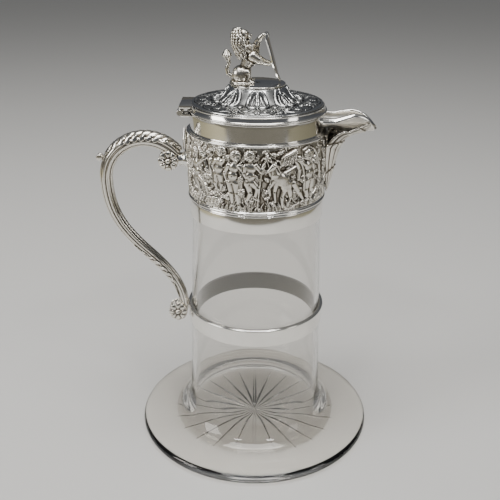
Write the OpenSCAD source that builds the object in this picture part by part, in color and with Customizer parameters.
// Claret jug: a tapered glass body on a spreading star-cut foot, with a silver mount,
// a reeded scroll handle, an open spout and a hinged lid that carries a lion with a shield.
// Origin: centre of the underside of the foot. +Z is up, the spout points to +X and the
// handle to -X. All sizes are millimetres.

/* [Glass] */
// Diameter of the spreading foot
foot_d = 167.6; // [160:0.2:180]
// Height of the rounded edge of the foot
foot_edge_h = 7; // [5:0.5:8]
// Height at which the flare of the foot has become the straight body
flare_h = 31; // [26:0.5:36]
// Outside diameter of the body at the top of the flare
body_low_d = 94.8; // [90:0.2:98]
// Outside diameter of the glass at its mouth, inside the mount
body_top_d = 83.8; // [80:0.2:86]
// Height of the glass alone
glass_h = 214; // [208:0.5:216]
// Thickness of the glass wall
glass_wall = 3.2; // [2.5:0.1:4]
// Thickness of the glass under the wine
base_t = 4; // [3.5:0.5:6]
// Number of rays of the star cut into the underside
star_rays = 24; // [16:2:32]
// Diameter of the cut star
star_d = 106; // [80:1:112]
// Depth of a ray
star_depth = 1.3; // [0.8:0.1:2]
// Width of a ray at the underside
star_ray_w = 5.4; // [3:0.1:6]

/* [Neck mount] */
// How far the lower edge of the mount lies below the mouth of the glass
skirt_drop = 48.8; // [44:0.2:52]
// Height of the plain band at the foot of the mount
skirt_h = 11.3; // [9:0.1:14]
// Height of the reeded ring above the plain band
reed_h = 4; // [3:0.1:5]
// Height of the figured frieze
frieze_h = 40.9; // [38:0.1:42]
// How far the frieze bulges past its lower edge
frieze_bulge = 1.5; // [0.5:0.1:2]
// Height of the stepped moulding on the frieze
step_h = 2.1; // [1.5:0.1:3]
// Height of the plain collar above the moulding
collar_h = 11.5; // [10:0.1:13]
// How far the collar stands in from the plain band at the foot of the mount
collar_in = 1.87; // [1.5:0.01:2.4]
// Thickness of the silver of the mount
mount_wall = 1.1; // [0.8:0.1:1.4]
// Least space for cement between the glass and a mount
cement_gap = 0.3; // [0.2:0.05:0.5]
// Least space for cement round the mouth of the glass
mouth_gap = 1.77; // [1.5:0.01:2.2]

/* [Girdle] */
// Height of the lower edge of the band round the body
girdle_z = 84.5; // [80:0.5:90]
// Height of the band
girdle_h = 13.2; // [12:0.1:16]
// Thickness of the band
girdle_wall = 0.9; // [0.7:0.1:1.2]
// Least space for packing at the upper edge of the band
packing_gap = 0.68; // [0.5:0.02:0.9]
// Diameter of the wire along the upper edge of the band
girdle_wire_d = 1.6; // [1.2:0.1:2]

/* [Handle] */
// How far the handle's centre line stands out from the frieze at its widest
handle_clear = 55.1; // [52:0.1:59]
// Radius of the bow at the top of the handle
bow_r = 27; // [25:0.5:29]
// Thickness of the handle at its upper end, seen from the side
handle_top_t = 10.6; // [9:0.1:12]
// Thickness of the handle at its lower end, seen from the side
handle_foot_t = 6.2; // [5:0.1:7]
// Width of the handle across the reeds, as a share of its thickness
handle_flat = 0.88; // [0.8:0.02:1]
// Thickness of the leaves that cap the handle
leaf_t = 1.5; // [1:0.1:2]
// Diameter of the four rosettes
rosette_d = 13.6; // [12:0.1:14.4]
// How far each rosette stands out
rosette_t = 2.6; // [2:0.1:3]
// Diameter of the round socket between the frieze and the handle
socket_d = 9.6; // [8:0.1:11]
// Height of the socket's centre above the lower edge of the frieze
socket_rise = 20.5; // [18:0.5:22]
// Thickness of the pad between the band and the handle
pad_t = 0.8; // [0.6:0.1:1.2]

/* [Spout] */
// How far the tip of the spout stands out from the collar
spout_out = 34.1; // [30:0.1:37]
// Width of the spout where it leaves the collar
spout_w = 25; // [22:0.5:26]
// Thickness of the spout's wall
spout_wall = 1.3; // [1:0.1:1.5]
// Diameter of the rolled rim of the spout
lip_d = 3; // [2.6:0.1:3.4]
// Width of the window that lets wine through the collar
window_w = 18; // [14:0.5:19]

/* [Lid] */
// How far the lid's rim stands out past the collar
lid_over = 2.1; // [1.6:0.1:3]
// Height of the lid's moulded rim
rim_h = 4; // [3.5:0.1:5]
// Height of the chased cover above its rim
cover_h = 11.6; // [10:0.1:13]
// Thickness of the cover
cover_t = 1; // [0.8:0.1:1.3]
// Diameter of the polished plinth under the lion
plinth_d = 36; // [33:0.5:38]
// Thickness of the plinth
plinth_t = 1.2; // [1:0.1:1.6]
// How far the lid's bezel reaches down inside the collar
bezel_drop = 3.2; // [2.5:0.1:3.6]
// Thickness of the bezel
bezel_t = 1; // [0.8:0.1:1.2]

/* [Hinge] */
// Distance from the back of the collar to the axis of the hinge pin
hinge_out = 6.2; // [5.8:0.1:7]
// Length of the hinge across the jug
hinge_w = 26; // [24:0.5:30]
// Outside diameter of the hinge's knuckles
knuckle_d = 4.2; // [3.8:0.1:4.6]
// Diameter of the hinge pin
pin_d = 1.8; // [1.4:0.1:2.2]

/* [Finial] */
// Height of the lion above the plinth
lion_h = 34; // [32:0.5:37]
// Length of the shield
shield_l = 31.5; // [30:0.5:33]
// Width of the shield
shield_w = 19; // [16:0.5:22]
// Thickness of the shield
shield_t = 1.2; // [1:0.1:1.6]
// How far the foot of the shield stands from the lid's axis
shield_x = 14; // [13:0.2:15]
// Lean of the shield towards the lion, in degrees
shield_lean = 16; // [14:0.5:18]
// Diameter of the stud that holds the lion
stud_d = 3; // [2.4:0.1:3.6]
// Size of the nut across its flats
nut_flats = 7; // [6:0.5:8]
// Height of the nut
nut_h = 3; // [2.5:0.1:4]

/* [Hidden] */

silver = "silver";
polished = "gainsboro";
crystal = "aliceblue";
plaster = "ivory";

round_fn = 96;     // circles of turned pieces
small_fn = 40;     // circles of small turned pieces
ball_fn = 20;      // balls inside hulls
seat = 0.05;       // gap between soldered pieces
lid_gap = 0.3;     // gap between the lid and the mount
pin_clearance = 0.06;
bolt_gap = 0.1;    // room round the lion's stud in the pieces that it passes
cut = 1;           // how far a cutter runs past the face that it cuts

foot_r = foot_d / 2;
edge_r = foot_edge_h / 2;
body_low_r = body_low_d / 2;
body_top_r = body_top_d / 2;

// Outside radius of the straight glass body at height z
function glass_r(z) = body_low_r + (body_top_r - body_low_r) * (z - flare_h) / (glass_h - flare_h);

skirt_z = glass_h - skirt_drop;
mount_in_r = max(glass_r(skirt_z) + cement_gap, body_top_r + mouth_gap);
skirt_r = mount_in_r + mount_wall;
reed_z = skirt_z + skirt_h;
frieze_z = reed_z + reed_h;
frieze_top = frieze_z + frieze_h;
step_top = frieze_top + step_h;
collar_top = step_top + collar_h;
collar_r = skirt_r - collar_in;
collar_in_r = collar_r - mount_wall;
frieze_low_r = skirt_r + 0.6;
frieze_r = frieze_low_r + frieze_bulge;
step_r = frieze_r - 0.6;
cement_top = glass_h + 1;

girdle_top = girdle_z + girdle_h;
girdle_in_r = max(glass_r(girdle_z) + cement_gap, glass_r(girdle_top) + packing_gap);
girdle_r = girdle_in_r + girdle_wall;

socket_z = frieze_z + socket_rise;
volute_r = rosette_d / 2 - 0.6;
volute_x = -(frieze_r + 11.6);
volute_w = handle_top_t * handle_flat;
flange_d = socket_d + 2.4;
low_volute_w = handle_foot_t * handle_flat + 1.4;
handle_reach = frieze_r + handle_clear;
bow_x = -(handle_reach - bow_r);
bow_z = socket_z - bow_r / 2;
bow_start = 40;
handle_foot_x = -(girdle_r + pad_t + handle_foot_t / 2);
handle_foot_z = girdle_z + girdle_h * 0.606;
leg_h = bow_z - handle_foot_z;
leg_out = handle_reach - girdle_r;
knee = [-(handle_reach - 0.4435 * leg_out), handle_foot_z + 0.46 * leg_h];
knee_dir = [0.72, -0.694];
low_volute_x = handle_foot_x - 4.6;
low_volute_z = girdle_z + 4;

rim_z = collar_top + lid_gap;
rim_top = rim_z + rim_h;
lid_r = collar_r + lid_over;
bezel_r = collar_in_r - 0.8;
plinth_r = plinth_d / 2;
cover_z = rim_top + seat;
cover_top = cover_z + cover_h;
plinth_z = cover_top + seat;
plinth_top = plinth_z + plinth_t;
figure_z = plinth_top + seat;

pin_x = -(collar_r + hinge_out);
pin_z = collar_top;
knuckle_r = knuckle_d / 2;
middle_w = hinge_w * 0.42;
side_w = (hinge_w - middle_w) / 2 - lid_gap;

spout_reach = collar_r + spout_out;
spout_root = collar_r - 5;
lip_r = lip_d / 2;
rim_drop = 3.6;    // the spout's rim starts this far below the top of the collar
rim_dip = 1.4;     // its dip beside the collar
rim_swell = 1.6;   // its rise on the way out
tip_fall = 8;      // its fall at the tip
tip_half_w = 1.6;  // half the width of the beak at its very tip
beak_half_w = 7;   // what the beak gains on the way back from the tip
keel_drop = 2.2;   // fall of the spout's underside
lip_seat = 0.08;   // gap between the trough and its lip
window_z = step_top + 1.6;
window_h = collar_top - window_z - 3;

// A ring turned round the jug's axis from an inner and an outer radius
module ring(r_in, r_out, z0, z1) {
    rotate_extrude($fn = round_fn)
        translate([r_in, z0])
            square([r_out - r_in, z1 - z0]);
}

// A round wire round the jug's axis
module wire(r_centre, z, r_wire) {
    rotate_extrude($fn = round_fn)
        translate([r_centre, z])
            circle(r = r_wire, $fn = small_fn);
}

// A disc on the handle, with its axis across the jug
module cross_disc(x, z, r, y0, y1) {
    translate([x, y1, z])
        rotate([90, 0, 0])
            cylinder(r = r, h = y1 - y0, $fn = small_fn);
}

// Faces of a tube made of rings of points, closed at both ends
function tube_faces(rings, sides) = concat(
    [[for (i = [0 : sides - 1]) i]],
    [for (k = [0 : rings - 2]) for (i = [0 : sides - 1])
        let (a = k * sides + i, b = k * sides + (i + 1) % sides)
        each [[a, a + sides, b], [b, a + sides, b + sides]]],
    [[for (i = [sides - 1 : -1 : 0]) (rings - 1) * sides + i]]
);

// Glass

module glass_outline() {
    polygon(concat(
        [[0, 0], [foot_r - edge_r, 0]],
        [for (a = [-75 : 15 : 75]) [foot_r - edge_r + edge_r * cos(a), edge_r + edge_r * sin(a)]],
        [[foot_r - edge_r - 1, foot_edge_h]],
        [for (t = [0 : 0.1 : 1])
            let (w = 1 - t)
            [w * w * (body_low_r + 19) + 2 * w * t * (body_low_r + 1.5) + t * t * body_low_r,
             w * w * (foot_edge_h + 2) + 2 * w * t * (foot_edge_h + 4) + t * t * flare_h]],
        [[body_top_r, glass_h], [0, glass_h]]
    ));
}

// The hollow widens with the flare, so the star shows through one clear floor.
module glass_hollow() {
    bell_z = flare_h + glass_wall;
    bell_r = glass_r(bell_z) - glass_wall;
    floor_r = body_low_r + 9.6;
    polygon(concat(
        [[0, base_t]],
        [for (t = [0 : 0.1 : 1])
            let (w = 1 - t)
            [w * w * floor_r + 2 * w * t * (bell_r + 1.2) + t * t * bell_r,
             w * w * base_t + 2 * w * t * (base_t + 2.5) + t * t * bell_z]],
        [[body_top_r - glass_wall, glass_h], [body_top_r - glass_wall, glass_h + cut], [0, glass_h + cut]]
    ));
}

module star_ray() {
    hub_r = 2.5;
    length = star_d / 2 - hub_r;
    translate([hub_r, 0, 0])
        rotate([90, 0, 90])
            linear_extrude(height = length)
                polygon([[-star_ray_w / 2, -0.01], [star_ray_w / 2, -0.01], [0, star_depth]]);
}

module glass_body() {
    color(crystal, 0.35)
        difference() {
            rotate_extrude($fn = round_fn) glass_outline();
            rotate_extrude($fn = round_fn) glass_hollow();
            for (i = [0 : star_rays - 1])
                rotate([0, 0, i * 360 / star_rays]) star_ray();
        }
}

// Neck mount

module neck_cement() {
    z0 = reed_z;
    outer = mount_in_r - seat;
    color(plaster)
        rotate_extrude($fn = round_fn)
            polygon([
                [glass_r(z0) + seat, z0], [outer, z0], [outer, cement_top],
                [body_top_r - glass_wall, cement_top], [body_top_r - glass_wall, glass_h + seat],
                [body_top_r + seat, glass_h + seat]
            ]);
}

module window_cutter() {
    translate([collar_in_r - 4, -window_w / 2, window_z])
        cube([8, window_w, window_h]);
}

module collar() {
    color(polished)
        difference() {
            union() {
                ring(collar_in_r, collar_r, cement_top + seat, collar_top);
                ring(collar_in_r, mount_in_r - seat, cement_top + seat, cement_top + seat + mount_wall);
            }
            window_cutter();
        }
}

module collar_wire() {
    r = 0.8;
    color(silver)
        difference() {
            wire(collar_r, collar_top - r, r);
            ring(collar_in_r - cut, collar_r + seat, collar_top - 3 * r, collar_top + cut);
            translate([0, -spout_w / 2 - lip_d, collar_top - 3 * r])
                cube([2 * lid_r, spout_w + 2 * lip_d, 4 * r]);
            translate([-2 * lid_r, -hinge_w / 2 - seat, collar_top - 3 * r])
                cube([2 * lid_r, hinge_w + 2 * seat, 4 * r]);
        }
}

module step_moulding() {
    bead_r = step_h * 0.3;
    fillet_in = 1.6;
    overlap = 0.01;
    color(silver)
        rotate_extrude($fn = round_fn) {
            translate([collar_r + seat, frieze_top + seat])
                square([step_r - bead_r - collar_r, 2 * bead_r]);
            translate([step_r - bead_r, frieze_top + seat + bead_r])
                circle(r = bead_r, $fn = small_fn);
            translate([collar_r + seat, frieze_top + seat + 2 * bead_r - overlap])
                square([step_r - collar_r - fillet_in, step_h - 2 * bead_r - seat]);
        }
}

// The drum's ground lies below its plain lower edge, and the cast figures stand on it
relief_sink = 1.1;
relief_h = 2.1;

drum_steps = [[0.12, -1.1], [0.45, -0.3], [0.68, 0], [0.9, -0.2], [1, -0.7]];

// Radius of the drum's ground at a share of its height
function drum_r(h) = frieze_r - relief_sink + lookup(h, drum_steps);

module drum_outline(grow) {
    border = 1;
    polygon(concat(
        [[mount_in_r, frieze_z], [frieze_low_r + grow, frieze_z], [frieze_low_r + grow, frieze_z + border]],
        [for (step = drum_steps) [drum_r(step[0]) + grow, frieze_z + frieze_h * step[0]]],
        [[mount_in_r, frieze_top]]
    ));
}

// A figure's boss points outward from the drum. Its place is the way along the drum from the
// middle of its half, and the height above the drum's foot
module boss(place, r, rise) {
    root = 0.6;
    r_here = drum_r(place[1] / frieze_h);
    rotate([0, 0, place[0] / frieze_r * 180 / PI])
        translate([r_here - root, 0, frieze_z + place[1]])
            rotate([0, 90, 0])
                cylinder(r1 = r * 1.15, r2 = r * 0.78, h = root + rise, $fn = 10);
}

module boss_limb(a, ra, b, rb, rise) {
    hull() {
        boss(a, ra, rise);
        boss(b, rb, rise);
    }
}

// The children of one half of the frieze: head, hips, both feet and the far hand
children_at = [
    [[-46.6, 32], [-43.6, 17.6], [-33.4, 6], [-43.4, 4], [-37, 31]],
    [[-23.6, 36.4], [-25.6, 23.4], [-26.6, 11], [-22.6, 11], [-20.4, 35.8]],
    [[-13.3, 35.2], [-15.6, 19.6], [-16.4, 3], [-10.6, 3], [-9.8, 22.4]],
    [[-4.4, 35.6], [-4.4, 20], [-5.6, 5.6], [0.6, 8.4], [4, 29.6]],
    [[35.6, 33.6], [37.4, 18.6], [36.4, 3.8], [41, 3.4], [27.4, 31.6]]
];

module child(spots) {
    head = spots[0];
    hips = spots[1];
    shoulder = head + [0, -6.6];
    boss(head, 3, relief_h);
    boss_limb(shoulder, 3, hips, 3.3, relief_h - 0.3);
    for (foot = [spots[2], spots[3]])
        boss_limb((hips * 3 + foot) / 4, 2.2, foot, 1.3, relief_h - 0.5);
    boss_limb(shoulder + [sign(spots[4][0] - head[0]) * 2.4, 1], 1.4, spots[4], 1, relief_h - 0.4);
}

module goat() {
    neck = [11.6, 25];
    boss_limb([13, 22.4], 3.8, [19.4, 16.8], 3.8, relief_h + 0.2);
    boss_limb(neck, 2.4, [10.4, 29.6], 1.9, relief_h - 0.2);
    boss_limb([10.4, 29.8], 1.8, [7.6, 27.2], 1.1, relief_h);
    boss_limb([18.2, 14], 1.6, [17, 3], 0.9, relief_h - 0.6);
    boss_limb([21.4, 13.6], 1.6, [21.4, 3.4], 0.9, relief_h - 0.6);
    boss_limb([10.6, 19.8], 1.4, [8.6, 11.4], 0.8, relief_h - 0.6);
}

// The basket, the large leaf of the ground, the seated figure's arm and a vine at each end
module plants() {
    boss_limb([18, 32], 3.2, [25, 34.6], 2.6, relief_h - 0.7);
    boss_limb([-34.5, 3.8], 1.7, [-25, 5.4], 2, relief_h - 0.4);
    boss_limb([24.6, 17], 2.1, [31.6, 6.8], 1.2, relief_h - 0.5);
    for (side = [-62, 50], k = [0 : 3])
        boss_limb([side - 3, 5 + 9 * k], 1.8, [side + 3, 9.5 + 9 * k], 1.4, relief_h - 0.7);
}

module frieze_drum() {
    color(silver) {
        rotate_extrude($fn = round_fn) drum_outline(0);
        for (half = [0, 1])
            rotate([0, 0, half ? 90 : -90])
                mirror([0, half, 0]) {
                    for (spots = children_at) child(spots);
                    goat();
                    plants();
                }
    }
}

module reed_ring() {
    reeds = 2;
    r = (reed_h - seat) / 2 / reeds;
    color(silver)
        rotate_extrude($fn = round_fn) {
            translate([mount_in_r, reed_z])
                square([mount_wall, reed_h - seat]);
            for (i = [0 : reeds - 1])
                translate([skirt_r, reed_z + r + i * 2 * r])
                    circle(r = r, $fn = small_fn);
        }
}

module skirt_band() {
    color(polished)
        ring(mount_in_r, skirt_r, skirt_z, reed_z - seat);
}

// Spout: the trough is a row of half-ellipse sections that face along X

spout_sections = 14;
arch_steps = 12;

function spout_x(t) = spout_root + t * (spout_reach - spout_root);
function spout_half_w(t) = spout_w / 2 * (1 - t) * sqrt(1 - pow(t, 2.6))
    + t * (tip_half_w + beak_half_w * pow(1 - t, 0.4));
function spout_rim_z(t) = collar_top - rim_drop - rim_dip * sin(180 * min(1, 1.6 * t))
    + rim_swell * sin(180 * max(0, t - 0.3) / 0.7) - tip_fall * pow(t, 7);
function spout_keel_z(t) = step_top + 0.3 - keel_drop * sin(90 * min(1, max(0, t - 0.2) * 2));

// The trough's edge lies under the lip, and lower where the lip slopes
slope_step = 0.02;
function rim_slope(t) =
    let (t0 = max(0, t - slope_step), t1 = min(1, t + slope_step))
    (spout_rim_z(t1) - spout_rim_z(t0)) / (spout_x(t1) - spout_x(t0));
function trough_top(t) = spout_rim_z(t) - lip_seat - lip_r * sqrt(1 + pow(rim_slope(t), 2));

function trough_ring(t, wall) =
    let (w = spout_half_w(t), top = trough_top(t), keel = spout_keel_z(t))
    concat(
        [for (i = [0 : arch_steps])
            let (a = -90 + 180 * i / arch_steps)
            [spout_x(t), w * sin(a), top - (top - keel) * cos(a)]],
        [for (i = [arch_steps : -1 : 0])
            let (a = -90 + 180 * i / arch_steps)
            [spout_x(t), (w - wall) * sin(a), top - (top - keel - wall) * cos(a)]]
    );

// The same outline grown, and filled up past the rim
function block_ring(t, grow) =
    let (w = spout_half_w(t) + grow, top = trough_top(t), keel = spout_keel_z(t) - grow)
    concat(
        [for (i = [0 : arch_steps])
            let (a = -90 + 180 * i / arch_steps)
            [spout_x(t), w * sin(a), top - (top - keel) * cos(a)]],
        [[spout_x(t), w, top + lip_d], [spout_x(t), -w, top + lip_d]]
    );

// The trough stops just behind the lip's turn at the tip
module trough_shell() {
    last_t = 0.955;
    pts = [for (k = [0 : spout_sections]) each trough_ring(last_t * k / spout_sections, spout_wall)];
    polyhedron(pts, tube_faces(spout_sections + 1, 2 * arch_steps + 2), convexity = 6);
}

module trough_block(grow) {
    pts = [for (k = [0 : spout_sections]) each block_ring(k / spout_sections, grow)];
    polyhedron(pts, tube_faces(spout_sections + 1, arch_steps + 3), convexity = 4);
}

// Everything of the neck mount that the spout and the sockets are soldered to
module mount_core(grow) {
    above = 5;
    translate([0, 0, cement_top])
        cylinder(r = collar_r + grow, h = collar_top + above - cement_top, $fn = round_fn);
    translate([0, 0, frieze_top - cut])
        cylinder(r = step_r + grow, h = step_h + cut + grow, $fn = round_fn);
    rotate_extrude($fn = round_fn) {
        drum_outline(grow);
        translate([0, frieze_z - cut]) square([mount_in_r, frieze_h + cut]);
    }
}

module spout_trough() {
    color(silver)
        difference() {
            trough_shell();
            mount_core(seat);
        }
}

lip_sides = 8;

function lip_point(t, side) =
    [spout_x(t), side * (spout_half_w(t) - spout_wall / 2), spout_rim_z(t) + seat];

lip_path = concat(
    [for (k = [0 : spout_sections]) lip_point(k / spout_sections, -1)],
    [for (k = [spout_sections : -1 : 0]) lip_point(k / spout_sections, 1)]
);

function unit(v) = v / norm(v);
function lip_ring(k) =
    let (last = len(lip_path) - 1,
         along = unit(lip_path[min(last, k + 1)] - lip_path[max(0, k - 1)]),
         side = unit(cross(along, [0, 0, 1])),
         up = cross(side, along))
    [for (i = [0 : lip_sides - 1])
        let (a = 360 * i / lip_sides)
        lip_path[k] + lip_r * (cos(a) * side - sin(a) * up)];

module spout_lip() {
    pts = [for (k = [0 : len(lip_path) - 1]) each lip_ring(k)];
    color(polished)
        difference() {
            polyhedron(pts, tube_faces(len(lip_path), lip_sides), convexity = 6);
            mount_core(seat);
        }
}

// Levels of the leaf under the spout: height, reach past the frieze, half the width
leaf_levels = [
    [frieze_z + 1, 1.6, 6],
    [frieze_z + frieze_h * 0.35, 4.6, 12],
    [frieze_z + frieze_h * 0.72, 8, 16],
    [frieze_top + 1, 16, 11]
];

// Half an ellipse that stands on the frieze
module leaf_slice(level) {
    root = 8;
    slice_h = 0.2;
    depth = level[1] + root;
    half_w = level[2];
    translate([frieze_r - root, 0, level[0]])
        intersection() {
            scale([depth / half_w, 1, 1])
                cylinder(r = half_w, h = slice_h, $fn = small_fn);
            translate([0, -half_w, 0]) cube([depth + cut, 2 * half_w, cut]);
        }
}

module spout_leaf() {
    color(silver)
        difference() {
            union() {
                hull()
                    for (k = [0 : 2]) leaf_slice(leaf_levels[k]);
                hull()
                    for (k = [2 : 3]) leaf_slice(leaf_levels[k]);
            }
            trough_block(seat);
            mount_core(seat);
        }
}

// Band round the body

module girdle_band() {
    color(silver)
        ring(girdle_in_r, girdle_r, girdle_z, girdle_top);
}

module girdle_wire() {
    r = girdle_wire_d / 2;
    color(polished)
        difference() {
            wire(girdle_r, girdle_top - r, r);
            ring(girdle_in_r, girdle_r + seat, girdle_z, girdle_top + cut);
            translate([-2 * girdle_r, -handle_foot_t / 2 - seat, girdle_z])
                cube([2 * girdle_r, handle_foot_t + 2 * seat, girdle_h + cut]);
        }
}

module girdle_packing() {
    color(plaster)
        rotate_extrude($fn = round_fn)
            polygon([
                [glass_r(girdle_z) + seat, girdle_z], [girdle_in_r - seat, girdle_z],
                [girdle_in_r - seat, girdle_top], [glass_r(girdle_top) + seat, girdle_top]
            ]);
}

// Handle: its centre line is a bow, then two curves that meet at the knee

bow_steps = 22;
leg_steps = 12;
reeds = 8;
reed_depth = 0.1;

function bezier(a, b, c, d, t) =
    pow(1 - t, 3) * a + 3 * t * pow(1 - t, 2) * b + 3 * t * t * (1 - t) * c + t * t * t * d;

bow_end = [bow_x - bow_r, bow_z];
handle_foot = [handle_foot_x, handle_foot_z];

handle_line = concat(
    [for (k = [0 : bow_steps])
        let (a = bow_start + (180 - bow_start) * k / bow_steps)
        [bow_x + bow_r * cos(a), bow_z + bow_r * sin(a)]],
    [for (k = [1 : leg_steps])
        bezier(bow_end, bow_end - [0, 0.2526 * leg_h], knee - 0.21 * leg_h * knee_dir, knee,
               k / leg_steps)],
    [for (k = [1 : leg_steps])
        bezier(knee, knee + 0.19 * leg_h * knee_dir, handle_foot + [0, 0.19 * leg_h], handle_foot,
               k / leg_steps)]
);
handle_last = len(handle_line) - 1;

function handle_t(k) = handle_top_t + (handle_foot_t - handle_top_t) * pow(k / handle_last, 1.2);
// Points across the centre line, to the outer side of the curve
function handle_out(k) =
    let (d = unit(handle_line[min(handle_last, k + 1)] - handle_line[max(0, k - 1)]))
    [d[1], -d[0]];

// A ring round the centre line from polar pairs: angle from the outer side, and radius
function handle_ring(k, polar) =
    let (out = handle_out(k), p = handle_line[k])
    [for (q = polar)
        [p[0] + q[1] * cos(q[0]) * out[0], q[2] * sin(q[0]), p[1] + q[1] * cos(q[0]) * out[1]]];

// Four sides to a reed: a reed is lowest at its edges and full in the middle
module handle_tube() {
    sides = 4 * reeds;
    pts = [for (k = [0 : handle_last])
        each handle_ring(k, [for (i = [0 : sides - 1])
            let (r = handle_t(k) / 2 * (1 - reed_depth * (1 - abs(sin(45 * i)))))
            [360 * i / sides, r, r * handle_flat]])];
    polyhedron(pts, tube_faces(handle_last + 1, sides), convexity = 8);
}

// A leaf that caps the outer side of the handle from one ring to another. It is narrow at
// its root, so that it clears the rosettes, and it narrows again to its tip
module cap_leaf(first, last) {
    half = 5;
    wrap = 100;
    thin = 0.35;
    clear_of_reeds = 1 / cos(12);
    pts = [for (k = [first : last])
        let (full = sin(180 * (k - first + 0.6) / (last - first + 1.2)),
             r_in = (handle_t(k) / 2 + 2 * seat) * clear_of_reeds,
             r_out = r_in + leaf_t * (thin + (1 - thin) * full),
             reach = wrap * min(1, 0.5 + 0.2 * (k - first), 0.4 + 0.2 * (last - k)))
        each handle_ring(k, concat(
            [for (i = [-half : half]) [reach * i / half, r_out, r_out * handle_flat]],
            [for (i = [half : -1 : -half]) [reach * i / half, r_in, r_in * handle_flat]]))];
    polyhedron(pts, tube_faces(last - first + 1, 4 * half + 2), convexity = 8);
}

socket_end_x = volute_x + volute_r - 1.5;

// The room that the socket takes in the scroll and its leaf
module socket_space() {
    translate([socket_end_x - seat, 0, socket_z])
        rotate([0, 90, 0])
            cylinder(r = socket_d / 2 + seat, h = 20, $fn = small_fn);
}

// The room that the two upper rosettes take
module rosette_space() {
    for (y0 = [-volute_w / 2 - 3 * rosette_t, volute_w / 2])
        cross_disc(volute_x, socket_z, rosette_d / 2 + seat, y0, y0 + 3 * rosette_t);
}

top_leaf_last = 18;
low_leaf_first = bow_steps + leg_steps - 1;
low_leaf_last = handle_last - 2;

module handle_scroll() {
    color(silver)
        difference() {
            union() {
                handle_tube();
                cross_disc(volute_x, socket_z, volute_r, -volute_w / 2, volute_w / 2);
                cross_disc(low_volute_x, low_volute_z, volute_r, -low_volute_w / 2, low_volute_w / 2);
            }
            socket_space();
        }
}

module handle_top_leaf() {
    spur_r = 2.1;
    spur_w = 5;
    above_reeds = 0.15;
    out = handle_out(top_leaf_last);
    p = handle_line[top_leaf_last];
    reach = handle_t(top_leaf_last) / 2 + above_reeds + spur_r;
    color(silver) {
        cap_leaf(0, top_leaf_last);
        cross_disc(p[0] + out[0] * reach, p[1] + out[1] * reach, spur_r, -spur_w / 2, spur_w / 2);
    }
}

module handle_low_leaf() {
    color(silver) cap_leaf(low_leaf_first, low_leaf_last);
}

module handle_socket() {
    root = 4;
    flange_t = 1.2;
    color(silver)
        difference() {
            translate([-frieze_r + root, 0, socket_z])
                rotate([0, -90, 0]) {
                    cylinder(d = socket_d, h = root - frieze_r - socket_end_x, $fn = small_fn);
                    cylinder(d = flange_d, h = root + flange_t, $fn = small_fn);
                }
            mount_core(seat);
            rosette_space();
        }
}

// A pointed leaf that stands on the frieze above the socket
module socket_leaf() {
    x = -frieze_r - 0.6;
    base_r = 1.2;
    base_z = socket_z + flange_d / 2 + base_r + seat;
    tip_z = frieze_top + 0.8;
    color(silver)
        difference() {
            hull() {
                translate([x, 0, base_z]) sphere(r = base_r, $fn = ball_fn);
                for (side = [-1, 1])
                    translate([x, side * 2.2, (base_z + tip_z) / 2]) sphere(r = 1.4, $fn = ball_fn);
                translate([x, 0, tip_z]) sphere(r = 0.7, $fn = ball_fn);
            }
            mount_core(seat);
        }
}

module handle_pad() {
    w = handle_foot_t * handle_flat;
    color(silver)
        difference() {
            translate([handle_foot_x + handle_foot_t / 2 + seat, -w / 2, girdle_z + 0.5])
                cube([pad_t + 1, w, girdle_h - 1]);
            translate([0, 0, girdle_z])
                cylinder(r = girdle_r + seat, h = girdle_h, $fn = round_fn);
        }
}

module rosette(x, z, y_seat, side) {
    petals = 8;
    r = rosette_d / 2;
    color(silver)
        translate([x, y_seat, z])
            rotate([side > 0 ? -90 : 90, 0, 0]) {
                difference() {
                    cylinder(r = r, h = rosette_t * 0.6, $fn = small_fn);
                    for (i = [0 : petals - 1])
                        rotate([0, 0, i * 360 / petals])
                            translate([r + 0.3, 0, -cut])
                                cylinder(r = 0.9, h = rosette_t + 2 * cut, $fn = small_fn);
                }
                cylinder(r = r * 0.3, h = rosette_t, $fn = small_fn);
            }
}

module upper_rosette_front() {
    rosette(volute_x, socket_z, -volute_w / 2 - seat, -1);
}

module upper_rosette_back() {
    rosette(volute_x, socket_z, volute_w / 2 + seat, 1);
}

module lower_rosette_front() {
    rosette(low_volute_x, low_volute_z, -low_volute_w / 2 - seat, -1);
}

module lower_rosette_back() {
    rosette(low_volute_x, low_volute_z, low_volute_w / 2 + seat, 1);
}

// Hinge

module knuckle(y0, y1, r) {
    cross_disc(pin_x, pin_z, r, y0, y1);
}

// The arm of a fixed knuckle slopes down to the collar below the lid's rim
module hinge_arm(y0) {
    root = -collar_r + 2;
    slope = 1.6;
    arm_top = pin_z - 0.3;
    translate([0, y0 + side_w, 0])
        rotate([90, 0, 0])
            linear_extrude(height = side_w)
                polygon([
                    [pin_x, pin_z - knuckle_r], [root, pin_z - knuckle_r - slope],
                    [root, arm_top], [pin_x + knuckle_r * 1.2, arm_top],
                    [pin_x, pin_z + knuckle_r * 0.6]
                ]);
}

// The bar joins the two arms below the lid's knuckle, against the collar
module hinge_bracket() {
    inner = middle_w / 2 + lid_gap;
    bar_gap = 1.5;
    bar_low = 1.2;
    color(silver)
        difference() {
            union() {
                for (y0 = [-inner - side_w, inner]) {
                    knuckle(y0, y0 + side_w, knuckle_r);
                    hinge_arm(y0);
                }
                translate([pin_x + knuckle_r + bar_gap, -inner - cut, pin_z - knuckle_r - bar_low])
                    cube([hinge_out, 2 * inner + 2 * cut, knuckle_r]);
            }
            knuckle(-hinge_w, hinge_w, pin_d / 2 + pin_clearance / 2);
            mount_core(seat);
        }
}

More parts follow.
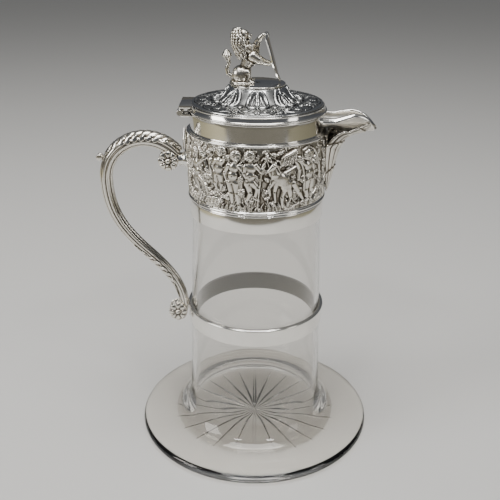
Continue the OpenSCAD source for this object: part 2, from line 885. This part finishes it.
module hinge_leaf() {
    plate_top = rim_top + 0.4;
    plate_low = pin_z + knuckle_r + 0.5;
    back = pin_x - 0.4;
    plate_reach = 8;
    color(silver)
        difference() {
            union() {
                knuckle(-middle_w / 2, middle_w / 2, knuckle_r);
                translate([back, -middle_w / 2, pin_z])
                    cube([knuckle_r + 1, middle_w, plate_top - pin_z]);
                translate([back, -hinge_w / 2, plate_low])
                    cube([hinge_out + plate_reach, hinge_w, plate_top - plate_low]);
            }
            knuckle(-hinge_w, hinge_w, pin_d / 2 + pin_clearance);
            rotate_extrude($fn = round_fn) {
                square([lid_r + seat, rim_z + rim_h / 2]);
                square([lid_r - rim_h / 4 + seat, rim_top + cut]);
            }
        }
}

module hinge_pin() {
    head_t = 1.2;
    head_r = pin_d / 2 + 0.8;
    y_in = hinge_w / 2 + seat;
    y_out = hinge_w / 2 + head_t;
    color(polished) {
        knuckle(-y_out, y_out, pin_d / 2);
        knuckle(y_in, y_out, head_r);
        knuckle(-y_out, -y_in, head_r);
    }
}

// Lid

module lid_rim() {
    bead_r = rim_h / 4;
    color(polished)
        rotate_extrude($fn = round_fn) {
            translate([bezel_r + seat, rim_z])
                square([lid_r - bead_r - bezel_r - seat, rim_h]);
            translate([lid_r - bead_r, rim_z + bead_r]) circle(r = bead_r, $fn = small_fn);
            translate([lid_r - 2 * bead_r, rim_top - bead_r]) circle(r = bead_r, $fn = small_fn);
        }
}

module lid_bezel() {
    color(silver)
        ring(bezel_r - bezel_t, bezel_r, collar_top - bezel_drop, rim_top);
}

// The cover slopes gently from its edge, then sweeps up to the plinth
cover_r = lid_r - 2.6;
sweep_r = plinth_r + 9;
sweep_rise = 1.4;
sweep_h = cover_h - cover_t - 2.2;
sweep_steps = 6;

// Points of the sweep, moved in by dx and started at height z
function sweep(dx, z) = [for (k = [0 : sweep_steps])
    let (u = k / sweep_steps)
    [sweep_r - dx + (plinth_r + 0.6 - sweep_r) * u, z + sweep_h * u * u]];
function reversed(list) = [for (i = [len(list) - 1 : -1 : 0]) list[i]];

// Main forms of the chased cover: flowers in rings, and leaves that climb to the plinth
cover_bosses = 8;
boss_rise = 0.6;
function cover_top_z(r) = cover_z + cover_t + (r > sweep_r
    ? sweep_rise * (cover_r - r) / (cover_r - sweep_r)
    : sweep_rise + sweep_h * pow((sweep_r - r) / (sweep_r - plinth_r - 0.6), 2));

module cover_stud(r, stud_r) {
    root = 0.5;
    translate([r, 0, cover_top_z(r) - root])
        cylinder(r = stud_r, h = root + boss_rise, $fn = 12);
}

module cover_relief() {
    flower_r = cover_r - 7.4;
    ring_r = 6;
    leaf_spots = [plinth_r + 11, sweep_r - 2.6, plinth_r + 3.6, plinth_r + 1.6];
    for (i = [0 : cover_bosses - 1])
        rotate([0, 0, (i + 0.5) * 360 / cover_bosses]) {
            cover_stud(flower_r, 2.4);
            translate([flower_r, 0, cover_top_z(flower_r) - 0.4])
                difference() {
                    cylinder(r = ring_r, h = boss_rise + 0.2, $fn = 24);
                    translate([0, 0, -cut]) cylinder(r = ring_r - 1.1, h = 3 * cut, $fn = 24);
                }
        }
    for (i = [0 : cover_bosses - 1], k = [0 : len(leaf_spots) - 2])
        rotate([0, 0, i * 360 / cover_bosses])
            hull() {
                cover_stud(leaf_spots[k], 1.8 - 0.3 * k);
                cover_stud(leaf_spots[k + 1], 1.5 - 0.3 * k);
            }
}

module lid_cover() {
    color(silver)
        difference() {
            union() {
                rotate_extrude($fn = round_fn)
                    polygon(concat(
                        [[cover_r, cover_z], [cover_r, cover_z + cover_t]],
                        sweep(0, cover_z + cover_t + sweep_rise),
                        [[plinth_r, cover_top], [0, cover_top], [0, cover_top - cover_t],
                         [plinth_r - 0.8, cover_top - cover_t]],
                        reversed(sweep(1.4 * cover_t, cover_z + sweep_rise - 0.2)),
                        [[bezel_r - bezel_t - 0.5, cover_z]]
                    ));
                cover_relief();
            }
            stud_hole();
        }
}

module lid_plinth() {
    color(polished)
        difference() {
            translate([0, 0, plinth_z])
                cylinder(r = plinth_r, h = plinth_t, $fn = round_fn);
            stud_hole();
        }
}

// Finial

lion_x = -8.4;
curve_r = 26;
base_shift = 0.1 * lion_h;
base_h = 0.1 * lion_h;
stud_x = lion_x - base_shift;
stud_low = cover_top - 6;
washer_t = 0.8;
washer_d = nut_flats + 3;

// The hole that the lion's stud needs in the lid
module stud_hole() {
    translate([stud_x, 0, stud_low])
        cylinder(r = stud_d / 2 + bolt_gap, h = 2 * lion_h, $fn = small_fn);
}

// Where the lion's parts lie, as shares of its height above the plinth
function lion_at(x, y, z) = [x * lion_h, y * lion_h, z * lion_h];

module limb(a, ra, b, rb) {
    hull() {
        translate(a) sphere(r = ra * lion_h, $fn = ball_fn);
        translate(b) sphere(r = rb * lion_h, $fn = ball_fn);
    }
}

module shield_place() {
    translate([shield_x, 0, figure_z])
        rotate([0, -shield_lean, 0])
            children();
}

module lion() {
    color(silver)
        translate([lion_x, 0, figure_z])
            difference() {
                union() {
                    limb(lion_at(-0.1, 0.11, 0.17), 0.12, lion_at(-0.04, 0.03, 0.36), 0.1);
                    limb(lion_at(-0.1, -0.11, 0.17), 0.12, lion_at(-0.03, -0.02, 0.36), 0.1);
                    limb(lion_at(-0.03, 0, 0.36), 0.1, lion_at(0.08, 0, 0.62), 0.14);
                    limb(lion_at(-0.1, 0, 0.72), 0.17, lion_at(-0.06, 0, 0.86), 0.14);
                    limb(lion_at(0.1, -0.1, 0.6), 0.07, lion_at(0.35, -0.08, 0.4), 0.05);
                    limb(lion_at(0.1, 0.1, 0.66), 0.07, lion_at(0.3, 0.06, 0.66), 0.05);
                    limb(lion_at(-0.2, 0, 0.16), 0.06, lion_at(-0.32, 0, 0.6), 0.045);
                    translate(lion_at(0.05, 0, 0.82)) sphere(r = 0.1 * lion_h, $fn = ball_fn);
                    translate([-base_shift, 0, 0])
                        cylinder(r = 0.22 * lion_h, h = base_h, $fn = small_fn);
                }
                translate([0, 0, -lion_h])
                    cylinder(r = lion_h, h = lion_h, $fn = small_fn);
                translate([-base_shift, 0, -cut])
                    cylinder(r = stud_d / 2 + seat, h = base_h, $fn = small_fn);
            }
}

module shield() {
    w = shield_w / 2;
    outline = concat(
        [[-w * 0.8, shield_l], [-w, shield_l * 0.9], [-w, shield_l * 0.5]],
        [for (a = [15 : 15 : 75]) [-w * cos(a), shield_l * (0.5 - 0.5 * sin(a))]],
        [[0, 0]],
        [for (a = [75 : -15 : 15]) [w * cos(a), shield_l * (0.5 - 0.5 * sin(a))]],
        [[w, shield_l * 0.5], [w, shield_l * 0.9], [w * 0.8, shield_l]]
    );
    color(polished)
        shield_place()
            intersection() {
                translate([-curve_r, 0, 0])
                    difference() {
                        cylinder(r = curve_r + shield_t, h = shield_l, $fn = round_fn);
                        translate([0, 0, -cut])
                            cylinder(r = curve_r, h = shield_l + 2 * cut, $fn = round_fn);
                    }
                translate([-12, 0, 0])
                    rotate([90, 0, 90])
                        linear_extrude(height = 20) polygon(outline);
            }
}

module finial_stud() {
    color(silver)
        translate([stud_x, 0, stud_low])
            cylinder(d = stud_d, h = figure_z + base_h - cut - seat - stud_low, $fn = small_fn);
}

module finial_washer() {
    color(silver)
        difference() {
            translate([stud_x, 0, cover_top - cover_t - seat - washer_t])
                cylinder(d = washer_d, h = washer_t, $fn = small_fn);
            stud_hole();
        }
}

module finial_nut() {
    color(polished)
        translate([stud_x, 0, cover_top - cover_t - 2 * seat - washer_t - nut_h])
            difference() {
                cylinder(d = nut_flats / cos(30), h = nut_h, $fn = 6);
                translate([0, 0, -cut])
                    cylinder(r = stud_d / 2 + seat, h = nut_h + 2 * cut, $fn = small_fn);
            }
}

glass_body();
neck_cement();
collar();
collar_wire();
step_moulding();
frieze_drum();
reed_ring();
skirt_band();
spout_trough();
spout_lip();
spout_leaf();
girdle_band();
girdle_wire();
girdle_packing();
handle_scroll();
handle_top_leaf();
handle_low_leaf();
handle_socket();
socket_leaf();
handle_pad();
upper_rosette_front();
upper_rosette_back();
lower_rosette_front();
lower_rosette_back();
hinge_bracket();
hinge_leaf();
hinge_pin();
lid_cover();
lid_rim();
lid_bezel();
lid_plinth();
lion();
shield();
finial_stud();
finial_washer();
finial_nut();
